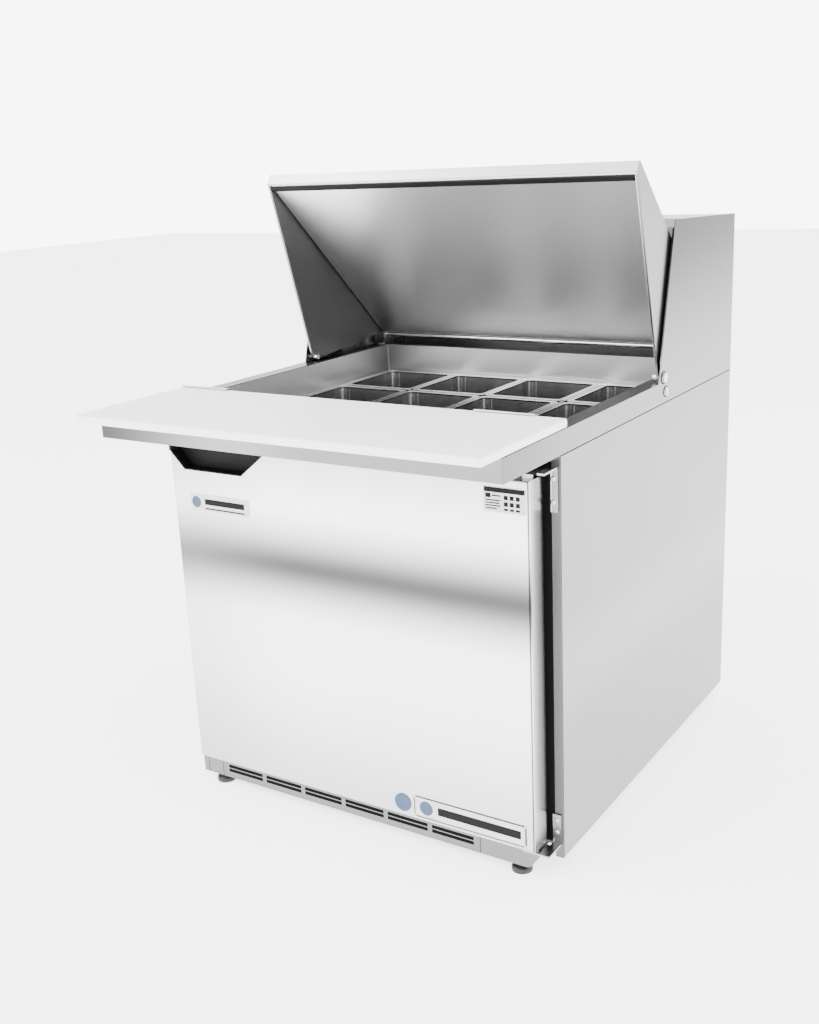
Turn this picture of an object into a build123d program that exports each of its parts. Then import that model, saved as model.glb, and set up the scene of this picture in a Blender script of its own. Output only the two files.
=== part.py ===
from build123d import *
import math
import os

# Sandwich prep table: refrigerated cabinet, pan rail with twelve sixth-size pans, cutting board,
# swing-up insulated lid and one door hinged on the right. Millimetres, floor at Z = 0, front faces -Y.

# ---- driving dimensions ---------------------------------------------------------------------
WIDTH = 737.0            # over the side panels
SHEET = 1.2              # outer stainless sheet
LINER = 1.0              # inner sheet
FRONT_OF_BOARD = -483.5
REAR = 483.5
RAIL_TOP = 709.0
APRON = 35.0             # height of the rail's outer skirt
RAIL_FRONT = -428.0
CABINET_FRONT = -259.0
CABINET_BOTTOM = 24.0
SEAM = 2.0               # open joint round the side panels
CLEAR = 0.3              # gap between bodies that move apart

HALF = WIDTH / 2
INNER = HALF - SHEET     # inside face of the side panels and wings
APRON_BOTTOM = RAIL_TOP - APRON

# pan well
WELL_X = 339.0
WELL_FRONT, WELL_BACK = -209.0, 368.0
LEDGE_Z = 651.0
LEDGE_X = 321.5
LEDGE_FRONT, LEDGE_BACK = -176.0, 352.0
LIP_BOTTOM = 641.0

# sixth-size pans
PAN_W, PAN_L, PAN_DEPTH = 162.0, 176.0, 100.0
PAN_WALL = 0.8
ROW_GAP = 6.0
PAN_COLUMNS = (-327.0, -165.0, -3.0, 165.0)
PAN_FIRST_ROW = -182.0
PAN_ROWS = 3

# cutting board
BOARD_DEPTH, BOARD_T = 254.0, 13.0
CLIP_L, CLIP_X = 102.0, (-316.0, 268.0)

# door
DOOR_LEFT, DOOR_RIGHT = -337.0, 345.5
DOOR_FRONT, DOOR_BACK = -311.0, -270.0
DOOR_BOTTOM, DOOR_TOP = 54.0, 646.0
PIN = (333.5, -292.0)
PIN_R = 4.0
RUNNING = 0.05
OPEN_X, OPEN_BOTTOM, OPEN_TOP = 305.0, 96.0, 622.0
GASKET_X, GASKET_W = 322.0, 14.0
GASKET_BOTTOM, GASKET_TOP = 70.0, 642.0

# lid, drawn closed and then swung open about its pivot
PIVOT = (137.0, 717.0)
PIVOT_R = 5.0
OPEN_ANGLE = 73.0
LID_X = 362.0
LID_INNER_X = 358.5
LID_WALL = 21.0
TIP_LOW, TIP_TOP, LID_REAR = (-214.0, 715.6), (-226.0, 730.5), (180.0, 966.5)
HOOD_FRONT = 224.0
CORNER_R = 6.5

# machine compartment and inner cabinet
FLOOR_TOP = 97.0
STEP_Y, STEP_Z = 230.0, 351.0
LINER_BACK, LINER_TOP = 430.0, 600.0
BAY_Y, BAY_TOP, BAY_X = 262.0, 330.0, 340.0
BASE_FRONT, BASE_Z = -296.0, (15.0, 46.0)
FRAME_BOTTOM = 45.0
FAN_Y, FAN_Z = 370.0, 135.0
FEET_X, FEET_Y = 307.0, (-282.0, 430.0)
POST_X = 355.0
EVAP_Z = 440.0


# ---- helpers --------------------------------------------------------------------------------
def block(x, y, z):
    """A box given by its low and high value on each axis."""
    centre = [(a[0] + a[1]) / 2 for a in (x, y, z)]
    return Pos(*centre) * Box(x[1] - x[0], y[1] - y[0], z[1] - z[0])


def both(piece):
    """A piece and its mirror image across the middle plane."""
    return [piece, mirror(piece, Plane.YZ)]


def outline(points):
    """A flat face in the YZ plane from (y, z) points."""
    return Plane.YZ * make_face(Polyline(*points, close=True))


def across(face, x0, x1):
    """A YZ face stretched from x0 to x1."""
    return extrude(Pos(x0, 0, 0) * face, amount=x1 - x0, dir=(1, 0, 0))


def rod_x(y, z, r, x0, x1):
    return Pos((x0 + x1) / 2, y, z) * Rot(0, 90, 0) * Cylinder(r, x1 - x0)


def rod_y(x, z, r, y0, y1):
    return Pos(x, (y0 + y1) / 2, z) * Rot(90, 0, 0) * Cylinder(r, y1 - y0)


def rod_z(x, y, r, z0, z1):
    return Pos(x, y, (z0 + z1) / 2) * Cylinder(r, z1 - z0)


def folded(points, thickness):
    """Closed outline of a sheet folded along points; the sheet lies on their right-hand side."""
    normals = []
    for (y0, z0), (y1, z1) in zip(points, points[1:]):
        length = math.hypot(y1 - y0, z1 - z0)
        normals.append(((z1 - z0) / length, -(y1 - y0) / length))
    inner = []
    for i, (y, z) in enumerate(points):
        a = normals[max(i - 1, 0)]
        b = normals[min(i, len(normals) - 1)]
        scale = thickness / (1 + a[0] * b[0] + a[1] * b[1])
        inner.append((y + (a[0] + b[0]) * scale, z + (a[1] + b[1]) * scale))
    return list(points) + inner[::-1]


def tube(points, radius, bend):
    """A round tube along points, with the same bend radius at each corner."""
    path = FilletPolyline(*points, radius=bend)
    start = Plane(origin=path @ 0, z_dir=path % 0)
    return sweep(start * Circle(radius), path=path)


def write(name, *pieces):
    """Save a node: one solid, or a group of separate solids."""
    shapes = []
    for piece in pieces:
        shapes += piece if isinstance(piece, (list, tuple)) else [piece]
    solids = [s for shape in shapes for s in shape.solids()]
    export_step(solids[0] if len(solids) == 1 else Compound(children=solids), f"parts/{name}.step")


def swung(piece):
    """A lid piece turned from closed to its open rest position."""
    axis = Axis((0, PIVOT[0], PIVOT[1]), (1, 0, 0))
    return piece.rotate(axis, -OPEN_ANGLE)


def opened(y, z):
    """Where a point of the closed lid lies when the lid is open."""
    a = math.radians(-OPEN_ANGLE)
    dy, dz = y - PIVOT[0], z - PIVOT[1]
    return (PIVOT[0] + dy * math.cos(a) - dz * math.sin(a), PIVOT[1] + dy * math.sin(a) + dz * math.cos(a))


# ---- cabinet shell --------------------------------------------------------------------------
def side_panel():
    front = CABINET_FRONT + SHEET + SEAM
    panel = block((INNER, HALF), (front, REAR), (CABINET_BOTTOM, APRON_BOTTOM - SEAM))
    hem = block((INNER - 12, INNER), (CABINET_FRONT + 23, REAR - SHEET),
                (CABINET_BOTTOM, CABINET_BOTTOM + SHEET))
    return panel + hem


def back_panel():
    panel = block((-INNER, INNER), (REAR - SHEET, REAR), (CABINET_BOTTOM, APRON_BOTTOM))
    slots = [
        Pos(side * 150, REAR - SHEET / 2, 70 + 20 * row) * Box(240, 4, 8)
        for side in (-1, 1)
        for row in range(12)
    ]
    gland_hole = rod_y(-300, 200, 11, REAR - 5, REAR + 5)
    return panel - slots - gland_hole


def front_frame():
    face, depth = (CABINET_FRONT, CABINET_FRONT + SHEET), (CABINET_FRONT, CABINET_FRONT + 22.6)
    outer = block((-HALF, HALF), face, (FRAME_BOTTOM, APRON_BOTTOM))
    outer += block((-INNER, INNER), depth, (FRAME_BOTTOM, APRON_BOTTOM))
    hollow = block((-INNER + SHEET, INNER - SHEET), (CABINET_FRONT + SHEET, CABINET_FRONT + 30),
                   (FRAME_BOTTOM + SHEET, APRON_BOTTOM - SHEET))
    opening = block((-OPEN_X, OPEN_X), (CABINET_FRONT - 5, CABINET_FRONT + 30), (OPEN_BOTTOM, OPEN_TOP))
    breaker = block((-OPEN_X - SHEET, OPEN_X + SHEET), (CABINET_FRONT, CABINET_FRONT + 12),
                    (OPEN_BOTTOM - SHEET, OPEN_TOP + SHEET))
    leg_z = (CABINET_BOTTOM, FRAME_BOTTOM + SHEET)
    leg = block((POST_X, HALF), face, leg_z) + block((POST_X, INNER), depth, leg_z)
    leg -= block((POST_X + SHEET, INNER - SHEET), (CABINET_FRONT + SHEET, CABINET_FRONT + 30), (0, FRAME_BOTTOM + 5))
    return outer - hollow + breaker - opening + both(leg)


LINER_OUTLINE = [
    (CABINET_FRONT + 12.2, FLOOR_TOP), (STEP_Y, FLOOR_TOP), (STEP_Y, STEP_Z), (LINER_BACK, STEP_Z),
    (LINER_BACK, LINER_TOP), (LEDGE_BACK + SHEET, LINER_TOP), (LEDGE_BACK + SHEET, LIP_BOTTOM - 1),
    (LEDGE_FRONT - SHEET, LIP_BOTTOM - 1), (LEDGE_FRONT - SHEET, OPEN_TOP - 1),
    (CABINET_FRONT + 12.2, OPEN_TOP - 1),
]


def liner_outer(grow):
    face = offset(make_face(Polyline(*LINER_OUTLINE, close=True)), amount=grow, kind=Kind.INTERSECTION)
    return across(Plane.YZ * face, -LEDGE_X - grow, LEDGE_X + grow)


def line_holes(extra=0.0):
    """Passages for the drain and the two refrigerant lines between cold box and machine bay."""
    r = 7.0 + extra
    return [rod_z(x, y, r, BAY_TOP - 10, STEP_Z + 10) for x, y in ((-200, 400), (215, 400), (240, 400))]


def interior_liner():
    air = across(outline(LINER_OUTLINE), -LEDGE_X, LEDGE_X)
    front = block((-LEDGE_X, LEDGE_X), (CABINET_FRONT, CABINET_FRONT + 14), (FLOOR_TOP, OPEN_TOP - 1))
    top = block((-LEDGE_X, LEDGE_X), (LEDGE_FRONT - SHEET, LEDGE_BACK + SHEET), (LIP_BOTTOM - 3, LIP_BOTTOM + 5))
    frame = block((-HALF, HALF), (CABINET_FRONT, CABINET_FRONT + 12.1), (0, RAIL_TOP))
    return liner_outer(LINER) - air - front - top - frame - line_holes()


def cabinet_insulation():
    foam = block((-INNER, INNER), (CABINET_FRONT + SHEET, REAR - SHEET), (52.0, APRON_BOTTOM - SHEET))
    foam -= both(block((INNER - SHEET, INNER), (CABINET_FRONT, CABINET_FRONT + 22.6), (0, APRON_BOTTOM)))
    bay = block((-BAY_X, BAY_X), (BAY_Y, REAR), (CABINET_BOTTOM, BAY_TOP))
    well = block((-WELL_X - SHEET, WELL_X + SHEET), (WELL_FRONT - SHEET, WELL_BACK + SHEET),
                 (LEDGE_Z - SHEET, RAIL_TOP))
    throat = block((-LEDGE_X - SHEET, LEDGE_X + SHEET), (LEDGE_FRONT - SHEET, LEDGE_BACK + SHEET),
                   (LIP_BOTTOM - 2, RAIL_TOP))
    mouth = block((-LEDGE_X - LINER, LEDGE_X + LINER), (CABINET_FRONT, CABINET_FRONT + 14),
                  (FLOOR_TOP - 1 - SHEET, OPEN_TOP + SHEET))
    lower = foam - bay - well - throat - mouth - liner_outer(LINER) - line_holes()
    upper = block((-INNER + SHEET, INNER - SHEET), (RAIL_FRONT + SHEET, REAR - SHEET),
                  (APRON_BOTTOM + SHEET, RAIL_TOP - SHEET)) - well
    return [lower, upper]


def base_rails():
    rail = block((290, 330), (BASE_FRONT + 4, REAR - 8), (CABINET_BOTTOM, 50.8))
    rail -= block((280, 340), (BASE_FRONT, CABINET_FRONT + 23), (FRAME_BOTTOM - 0.4, 60))
    hollow = block((293, 340), (BASE_FRONT, REAR), (CABINET_BOTTOM + 3, 47.8))
    holes = [rod_z(FEET_X, y, 6.1, 0, 40) for y in FEET_Y]
    return both(rail - hollow - holes)


def levelling_feet():
    feet = []
    for x in (-FEET_X, FEET_X):
        for y in FEET_Y:
            stud = rod_z(x, y, 5.9, 9, 40)
            nut = Pos(x, y, 20) * extrude(RegularPolygon(11, 6), amount=4)
            pad = rod_z(x, y, 17, 0, 9)
            pad = fillet(pad.edges().group_by(Axis.Z)[-1], 4)
            feet += [pad, stud + nut]
    return feet


def low_rounded(piece, radius):
    """A block with its lower right-hand edge rounded."""
    return fillet(piece.edges().filter_by(Axis.Y).group_by(Axis.Z)[0].sort_by(Axis.X)[-1], radius)


def base_grille():
    low, high = BASE_Z
    face = (BASE_FRONT, BASE_FRONT + SHEET)
    depth = (face[0], CABINET_FRONT - 2)
    left_end, joint, start, cap, right_end = -346, -334, -300, 240, 334
    grille = block((start, cap - 0.4), face, (low, high)) + block((start, cap - 0.4), depth, (high - SHEET, high))
    for column in range(6):
        for z in (high - 8.5, high - 16.5):
            grille -= Pos(-246.5 + 87 * column, face[0], z) * Box(79, 6, 5)
    left = block((left_end, joint - 0.4), face, (low, high))
    left += block((left_end, left_end + SHEET), depth, (low, high))
    strip = block((joint, start - 0.4), face, (low, high))
    strip += block((joint, start - 0.4), depth, (high - SHEET, high))
    cover = low_rounded(block((cap, right_end), depth, (low, high)), 12)
    cover -= low_rounded(block((cap + 1, right_end - SHEET), (face[1], CABINET_FRONT), (low + SHEET, high - SHEET)), 11)
    cover -= rod_z(FEET_X, FEET_Y[0], 6.5, 0, low + 5)
    return [grille, left, strip, cover]


def hinge_brackets():
    pieces = []
    top, low = DOOR_TOP + 9, DOOR_BOTTOM - 6.5
    for tab, leg, pin in (((top, top + 3), (590, top + 3), (DOOR_TOP - 14, top + 3)),
                          ((low, low + 3), (low, 100), (low, DOOR_BOTTOM + 14))):
        plate = block((352, 366), (CABINET_FRONT - 3, CABINET_FRONT), leg)
        arm = block((320, 366), (PIN[1] - 12, CABINET_FRONT), tab)
        arm -= block((319, 352), (CABINET_FRONT - 14, CABINET_FRONT + 1), (tab[0] - 1, tab[1] + 1))
        shaft = rod_z(*PIN, PIN_R, *pin)
        pieces += [plate + arm - shaft, shaft]
    return pieces


# ---- worktop, well and hood -----------------------------------------------------------------
def worktop_frame():
    body = block((-INNER, INNER), (RAIL_FRONT, REAR), (APRON_BOTTOM, RAIL_TOP))
    body -= block((-INNER + SHEET, INNER - SHEET), (RAIL_FRONT + SHEET, REAR - SHEET),
                  (APRON_BOTTOM + SHEET, RAIL_TOP - SHEET))
    body -= block((-INNER + 13, INNER - 13), (CABINET_FRONT + 23, REAR - 15), (0, APRON_BOTTOM + 5))
    return body - block((-WELL_X, WELL_X), (WELL_FRONT, WELL_BACK), (0, RAIL_TOP + 1))


def well_liner():
    y_in, x_in = (WELL_FRONT, WELL_BACK), (-WELL_X, WELL_X)
    ring = block((x_in[0] - SHEET, x_in[1] + SHEET), (y_in[0] - SHEET, y_in[1] + SHEET),
                 (LEDGE_Z - SHEET, RAIL_TOP - SHEET))
    ring -= block(x_in, y_in, (LEDGE_Z, RAIL_TOP))
    throat = block((-LEDGE_X, LEDGE_X), (LEDGE_FRONT, LEDGE_BACK), (0, RAIL_TOP))
    lip = block((-LEDGE_X - SHEET, LEDGE_X + SHEET), (LEDGE_FRONT - SHEET, LEDGE_BACK + SHEET),
                (LIP_BOTTOM, LEDGE_Z - SHEET))
    return ring + lip - throat


def pan_divider_bars():
    bars = []
    for row in range(1, PAN_ROWS):
        y = PAN_FIRST_ROW + row * (PAN_L + ROW_GAP) - ROW_GAP / 2
        bar = block((-LEDGE_X, LEDGE_X), (y - 9, y + 9), (LIP_BOTTOM, LEDGE_Z - 0.2))
        bars.append(bar - block((-400, 400), (y - 7.8, y + 7.8), (0, LEDGE_Z - 1.4)))
    upright = (PAN_COLUMNS[2] + PAN_W + 1, PAN_COLUMNS[3] - 1)
    bars.append(block(upright, (LEDGE_FRONT + 1, LEDGE_BACK - 1), (LEDGE_Z - 0.2, LEDGE_Z + 3.4)))
    return bars


def board_clips():
    back = FRONT_OF_BOARD + BOARD_DEPTH + CLEAR
    top = RAIL_TOP + CLEAR + BOARD_T + 0.8
    profile = [(back + 8, RAIL_TOP), (back + 8, RAIL_TOP + 1.5), (back + 1.5, RAIL_TOP + 1.5),
               (back + 1.5, top + 1.5), (back - 7, top + 1.5), (back - 7, top), (back, top), (back, RAIL_TOP)]
    clips = []
    for x in CLIP_X:
        ends = (x - CLIP_L / 2, x + CLIP_L / 2)
        clips.append(across(outline(profile), *ends) + rod_x(back - 6.4, top + 1.4, 1.4, *ends))
    return clips


WING_FRONT = [(171.6, 936), (125.5, 740)]
WING = [(RAIL_FRONT, APRON_BOTTOM), (REAR, APRON_BOTTOM), (REAR, 963), (180, 971.5), WING_FRONT[1],
        (117, RAIL_TOP), (RAIL_FRONT, RAIL_TOP)]
LOW_BOLT = (147.5, 692.0)


def wing():
    plate = across(outline(WING), INNER, HALF)
    hem = across(outline(folded(WING_FRONT, -8)), INNER - SHEET, INNER)
    holes = rod_x(*PIVOT, PIVOT_R, INNER - 5, HALF + 1) + rod_x(*LOW_BOLT, 3, INNER - 5, HALF + 1)
    return plate + hem - holes


def wing_seal_plates():
    plate = [(155, RAIL_TOP + 2), (150, 736), (131, 745), (181, 958), (HOOD_FRONT - 2, 958),
             (HOOD_FRONT - 2, 950), (235, 950), (235, RAIL_TOP + 2)]
    strip = across(outline(plate), LID_X + 1.2, LID_X + 3.4)
    spacer = across(outline([(172, 730), (195, 730), (195, 930), (183, 930)]), LID_X + 3.4, INNER)
    return both(strip + spacer)


def hood_panel():
    line = [(HOOD_FRONT, 956), (HOOD_FRONT, 970), (REAR, 962), (REAR, RAIL_TOP)]
    return across(outline(folded(line, SHEET)), -INNER, INNER)


def lid_stop():
    """The bar that the open lid rests on, and the bracket at each end."""
    corner = opened(*lid_point(LID_LENGTH, LID_WALL))
    y, z = corner[0] + 4, corner[1] - PIVOT_R
    bar = rod_x(y, z, 4, -347, 347)
    foot = [(y - 14, RAIL_TOP), (y + 14, RAIL_TOP), (y + 7, z + 3), (y - 7, z + 3)]
    ends = both(across(outline(foot), 344, 347) - rod_x(y, z, 4, 340, 350)
                + block((347, 359), (y - 14, y + 14), (RAIL_TOP, RAIL_TOP + 1.5)))
    return [bar] + ends


def wing_bolts():
    pivots = rod_x(*PIVOT, PIVOT_R - 0.02, LID_INNER_X - 8, HALF) + rod_x(*PIVOT, 8, HALF, HALF + 4)
    fixing = rod_x(*LOW_BOLT, 3, INNER, HALF) + rod_x(*LOW_BOLT, 6, HALF, HALF + 3)
    return both(pivots) + both(fixing)


# ---- lid ------------------------------------------------------------------------------------
def lid_slope():
    dy, dz = LID_REAR[0] - TIP_TOP[0], LID_REAR[1] - TIP_TOP[1]
    length = math.hypot(dy, dz)
    return dy / length, dz / length


def lid_point(along, deep):
    """A point of the closed lid, by its distance back from the tip and its depth under the sloping top."""
    slope = lid_slope()
    return (TIP_TOP[0] + slope[0] * along + slope[1] * deep, TIP_TOP[1] + slope[1] * along - slope[0] * deep)


LID_LENGTH = math.hypot(LID_REAR[0] - TIP_TOP[0], LID_REAR[1] - TIP_TOP[1])
LID_HEEL = lid_point(LID_LENGTH, LID_WALL)
LID_FOOT = (PIVOT[0], PIVOT[1] - CORNER_R)
LID_OUTLINE = [TIP_LOW, TIP_TOP, LID_REAR, LID_HEEL, (PIVOT[0] + CORNER_R, PIVOT[1]), LID_FOOT]
RIM_BACK = (TIP_LOW[0] + 5 * lid_slope()[0], TIP_LOW[1] + 5 * lid_slope()[1])
SKIN_LINE = [RIM_BACK, TIP_LOW, TIP_TOP, LID_REAR, lid_point(LID_LENGTH, LID_WALL - LINER)]
LINER_LINE = [lid_point(6, LID_WALL), LID_HEEL]


def lid_side_shape(x0, x1):
    return across(outline(LID_OUTLINE), x0, x1) + rod_x(*PIVOT, CORNER_R, x0, x1)


def lid_cavity(x0, x1):
    front, rear = LINER_LINE
    points = [(front[0], 600), front, rear, (rear[0] + 60, rear[1]), (rear[0] + 60, 600)]
    return across(outline(points), x0, x1)


def lid_top_skin():
    return across(outline(folded(SKIN_LINE, LINER)), -LID_X + LINER, LID_X - LINER)


def lid_sides():
    skin = lid_side_shape(LID_X - LINER, LID_X)
    hem = across(outline(folded([TIP_LOW, LID_FOOT], -LINER)), LID_INNER_X, LID_X)
    hem -= block((LID_INNER_X, LID_X - LINER), (TIP_TOP[0] - 5, RIM_BACK[0] + 0.5), (700, 740))
    boss = rod_x(*PIVOT, 6.3, LID_INNER_X, LID_X)
    bore = rod_x(*PIVOT, PIVOT_R + RUNNING, LID_INNER_X - 5, LID_X + 5)
    return both(skin + hem + boss - bore)


def lid_inner_liner():
    top = across(outline(folded(LINER_LINE, -LINER)), -LID_INNER_X, LID_INNER_X)
    cheek = LINER_LINE + [(PIVOT[0] + CORNER_R, PIVOT[1]), (PIVOT[0], LID_FOOT[1] + 1.2)]
    face = across(outline(cheek), LID_INNER_X - LINER, LID_INNER_X) - rod_x(*PIVOT, 7, 340, 360)
    return top + both(face)


def lid_insulation():
    foam = lid_side_shape(-LID_X + LINER, LID_X - LINER)
    foam -= lid_cavity(-LID_INNER_X, LID_INNER_X)
    foam -= across(outline(folded(SKIN_LINE, LINER)), -LID_X, LID_X)
    foam -= across(outline(folded([TIP_LOW, LID_FOOT], -LINER - 0.2)), -LID_X, LID_X)
    foam -= across(outline(folded(LINER_LINE, -LINER)), -LID_INNER_X, LID_INNER_X)
    return foam - both(rod_x(*PIVOT, 8, 340, 370))


def lid_gasket():
    strip = [lid_point(8, LID_WALL), lid_point(8, LID_WALL + 3), lid_point(18, LID_WALL + 3), lid_point(18, LID_WALL)]
    return across(outline(strip), -LID_INNER_X + 2, LID_INNER_X - 2)


# ---- pans and board -------------------------------------------------------------------------
def pan(x, y):
    """One sixth-size pan with its low left corner at x, y."""
    centre = Pos(x + PAN_W / 2, y + PAN_L / 2, LEDGE_Z + CLEAR)
    gap, flange = 0.6, 7.0
    rim = RectangleRounded(PAN_W - gap, PAN_L - gap, 12)
    mouth = RectangleRounded(PAN_W - 2 * flange, PAN_L - 2 * flange, 16)
    hole = RectangleRounded(PAN_W - 2 * flange - 2 * PAN_WALL, PAN_L - 2 * flange - 2 * PAN_WALL, 15.2)
    collar = extrude(rim, amount=2.4)
    collar -= Pos(0, 0, -0.1) * extrude(RectangleRounded(PAN_W - gap - 2.4, PAN_L - gap - 2.4, 11), amount=1.5)
    outside = extrude(mouth, amount=-PAN_DEPTH + 2.4, taper=3) + extrude(mouth, amount=2.4)
    inside = Pos(0, 0, 2.5) * extrude(hole, amount=-PAN_DEPTH + PAN_WALL, taper=3)
    return centre * (collar + outside - inside)


def cutting_board():
    y = (FRONT_OF_BOARD, FRONT_OF_BOARD + BOARD_DEPTH)
    board = block((-HALF + 0.5, HALF - 0.5), y, (RAIL_TOP + CLEAR, RAIL_TOP + CLEAR + BOARD_T))
    board = fillet(board.edges().filter_by(Axis.Z), 6)
    rims = board.edges().group_by(Axis.Z)
    return fillet(rims[0] + rims[-1], 3)


# ---- door -----------------------------------------------------------------------------------
GRIP_LOW = 598.5
GRIP = [(DOOR_LEFT, DOOR_TOP), (DOOR_LEFT, 628), (-308, GRIP_LOW), (-184, GRIP_LOW), (-134, 638), (-134, DOOR_TOP)]


def grip_shape(y0, y1, shrink=0.0):
    face = make_face(Polyline(*GRIP, close=True))
    if shrink:
        face = offset(face, amount=-shrink, kind=Kind.INTERSECTION)
    return Pos(0, y1, 0) * extrude(Plane.XZ * face, amount=y1 - y0)


def pin_holes(r):
    return [rod_z(*PIN, r, DOOR_TOP - 20, DOOR_TOP + 5), rod_z(*PIN, r, DOOR_BOTTOM - 5, DOOR_BOTTOM + 20)]


def door_skin():
    skin = block((DOOR_LEFT, DOOR_RIGHT), (DOOR_FRONT, DOOR_BACK), (DOOR_BOTTOM, DOOR_TOP))
    skin = fillet(skin.edges().group_by(Axis.Y)[0], 2.5)
    skin -= block((DOOR_LEFT + 1, DOOR_RIGHT - 1), (DOOR_FRONT + 1, DOOR_BACK + 1), (DOOR_BOTTOM + 1, DOOR_TOP - 1))
    return skin - grip_shape(DOOR_FRONT - 5, DOOR_FRONT + 24) - pin_holes(7)


def door_liner():
    plate = block((DOOR_LEFT + 1, DOOR_RIGHT - 1), (DOOR_BACK - 1, DOOR_BACK), (DOOR_BOTTOM + 1, DOOR_TOP - 1))
    dyke = block((-GASKET_X + 24, GASKET_X - 24), (DOOR_BACK, DOOR_BACK + 6),
                 (GASKET_BOTTOM + 32, GASKET_TOP - 24))
    return plate + fillet(dyke.edges().group_by(Axis.Y)[-1], 3)


def door_insulation():
    foam = block((DOOR_LEFT + 1, DOOR_RIGHT - 1), (DOOR_FRONT + 2.5, DOOR_BACK - 1), (DOOR_BOTTOM + 1, DOOR_TOP - 1))
    return foam - grip_shape(DOOR_FRONT - 5, DOOR_FRONT + 24) - pin_holes(7)


def handle_insert():
    cup = grip_shape(DOOR_FRONT + 0.4, DOOR_FRONT + 24) - grip_shape(DOOR_FRONT - 1, DOOR_FRONT + 22, 2)
    return cup + block((DOOR_LEFT - 3, DOOR_LEFT + 1), (DOOR_FRONT + 0.4, DOOR_FRONT + 24), (628, DOOR_TOP))


def door_gasket():
    y = (DOOR_BACK, CABINET_FRONT - 0.5)
    ring = block((-GASKET_X, GASKET_X), y, (GASKET_BOTTOM, GASKET_TOP))
    ring -= block((-GASKET_X + GASKET_W, GASKET_X - GASKET_W), (y[0] - 1, y[1] + 1),
                  (GASKET_BOTTOM + GASKET_W, GASKET_TOP - GASKET_W))
    return fillet(ring.edges().group_by(Axis.Y)[-1], 2.5)


def hinge_bushings():
    bore = rod_z(*PIN, PIN_R + RUNNING, 0, 800)
    top = rod_z(*PIN, 7, DOOR_TOP - 18, DOOR_TOP) + rod_z(*PIN, 8, DOOR_TOP, DOOR_TOP + 8.6)
    low = rod_z(*PIN, 7, DOOR_BOTTOM, DOOR_BOTTOM + 18) + rod_z(*PIN, 8, DOOR_BOTTOM - 3.1, DOOR_BOTTOM)
    return [top - bore, low - bore]


# ---- inside the cabinet ---------------------------------------------------------------------
def wire_shelves():
    shelves = []
    for z in (230.0, 400.0):
        rods = [rod_x(y, z, 3.2, -307, 307) for y in (-235, 0, 212)]
        wires = [rod_y(-299 + 26 * i, z + 3.6, 2.0, -238, 215) for i in range(24)]
        shelves.append(rods[0] + rods[1:] + wires)
    return shelves


def shelf_supports():
    pieces = []
    for y in (-195, 170):
        strip = block((LEDGE_X - 3, LEDGE_X), (y - 8, y + 8), (130, 560))
        pieces += both(strip)
        for z in (230.0, 400.0):
            clip = block((300, LEDGE_X - 3), (y - 7, y + 7), (z - 5.4, z - 3.4))
            clip += block((LEDGE_X - 5, LEDGE_X - 3), (y - 7, y + 7), (z - 18, z - 3.4))
            pieces += both(clip)
    return pieces


def evaporator_housing():
    box = block((-225, 225), (248, 422), (362, 520))
    box -= block((-223.8, 223.8), (249.2, 423), (363.2, 518.8))
    box -= rod_y(0, EVAP_Z, 63, 240, 255)
    box -= rod_y(160, EVAP_Z, 4 + RUNNING, 240, 255)
    box -= [block((-210 + 70 * i, -160 + 70 * i), (300, 400), (515, 525)) for i in range(7)]
    box -= [rod_z(x, 400, 8, 355, 370) for x in (-200, 215)]
    return box


def fin_stack(x, y, z, along, pitch, fin):
    """A finned coil: thin fins on round tubes that run along the given axis, X or Y."""
    low, high = (x, y)[along]
    count = int((high - low) / pitch)
    fins = []
    for i in range(count + 1):
        at = low + i * pitch
        pair = (at, at + fin)
        fins.append(block(pair, y, z) if along == 0 else block(x, pair, z))
    tubes = []
    rows = 5
    for row in range(rows):
        h = z[0] + (row + 0.5) * (z[1] - z[0]) / rows
        if along == 0:
            tubes.append(rod_x((y[0] + y[1]) / 2, h, 5, low - 8, high + 8))
        else:
            tubes.append(rod_y((x[0] + x[1]) / 2, h, 5, low - 8, high + 8))
    return tubes[0] + tubes[1:] + fins


def evaporator_coil():
    return fin_stack((-180, 180), (345, 405), (380, 500), 0, 18, 1.0)


def condenser_coil():
    return fin_stack((185, 230), (290, 450), (45, 225), 1, 8, 1.0)


def condenser_shroud():
    plate = block((166, 168), (285, 455), (34, 235))
    rim = block((168, 184), (285, 455), (34, 235)) - block((160, 190), (287, 453), (36, 233))
    plate -= rod_x(FAN_Y, FAN_Z, 80, 160, 175)
    arms = block((120, 124), (FAN_Y - 8, FAN_Y + 8), (34, FAN_Z - 26))
    arms += block((124, 166), (FAN_Y - 8, FAN_Y + 8), (34, 36))
    return plate + rim + arms


def fan(hub_r, blade_r, count):
    """A small axial fan on the Z axis: a hub with a shaft hole and pitched blades."""
    rotor = Cylinder(hub_r, 14)
    for i in range(count):
        blade = Rot(0, 0, 360 * i / count) * Pos((hub_r + blade_r) / 2 - 1, 0, 0) * Rot(28, 0, 0) * Box(
            blade_r - hub_r + 2, blade_r * 0.55, 1.6)
        rotor += blade
    rotor &= Cylinder(blade_r, 40)
    return rotor - Cylinder(3 + RUNNING, 60)


def condenser_fan():
    return Pos(146, FAN_Y, FAN_Z) * Rot(0, 90, 0) * fan(20, 72, 5)


def evaporator_fan():
    return Pos(0, 268, EVAP_Z) * Rot(90, 0, 0) * fan(17, 56, 5)


def fan_motors():
    condenser = rod_x(FAN_Y, FAN_Z, 28, 80, 124) + rod_x(FAN_Y, FAN_Z, 3, 124, 152)
    condenser -= block((120, 124), (FAN_Y - 8, FAN_Y + 8), (0, FAN_Z - 26))
    evaporator = rod_y(0, EVAP_Z, 24, 292, 330) + rod_y(0, EVAP_Z, 3, 262, 292)
    legs = [block((x - 5, x + 5), (322, 326), (EVAP_Z - 10, 518.8)) for x in (-15, 15)]
    return [condenser, evaporator + legs]


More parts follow.
